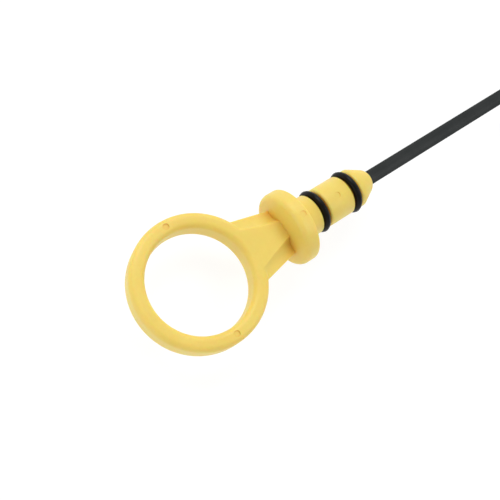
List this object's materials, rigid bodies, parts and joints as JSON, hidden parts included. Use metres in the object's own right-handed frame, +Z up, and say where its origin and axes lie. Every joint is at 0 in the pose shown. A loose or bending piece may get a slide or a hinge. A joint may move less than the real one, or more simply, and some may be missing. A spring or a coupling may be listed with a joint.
{
  "type": "engine oil dipstick",
  "caption": "Engine oil dipstick: yellow moulded finger-ring handle with a round collar and a sealed barrel, on a long flat black steel blade with level holes at its tip.",
  "frame": {"origin": "bottom centre of the whole stick as it lies level, under its own line, on the plane that the collar's rim rests on", "axes": "+X along the stick from the finger ring to the tip of the blade, +Z up and square to the finger ring and the flat of the blade, +Y across"},
  "size_m": [0.4556, 0.0446, 0.026],
  "materials": {
    "yellow_plastic": "satin",
    "black_steel": "satin",
    "black_rubber": "satin"
  },
  "bodies": {
    "root": {"handle": "yellow_plastic", "blade": "black_steel", "upper_o_ring": "black_rubber", "lower_o_ring": "black_rubber"}
  },
  "joints": []
}
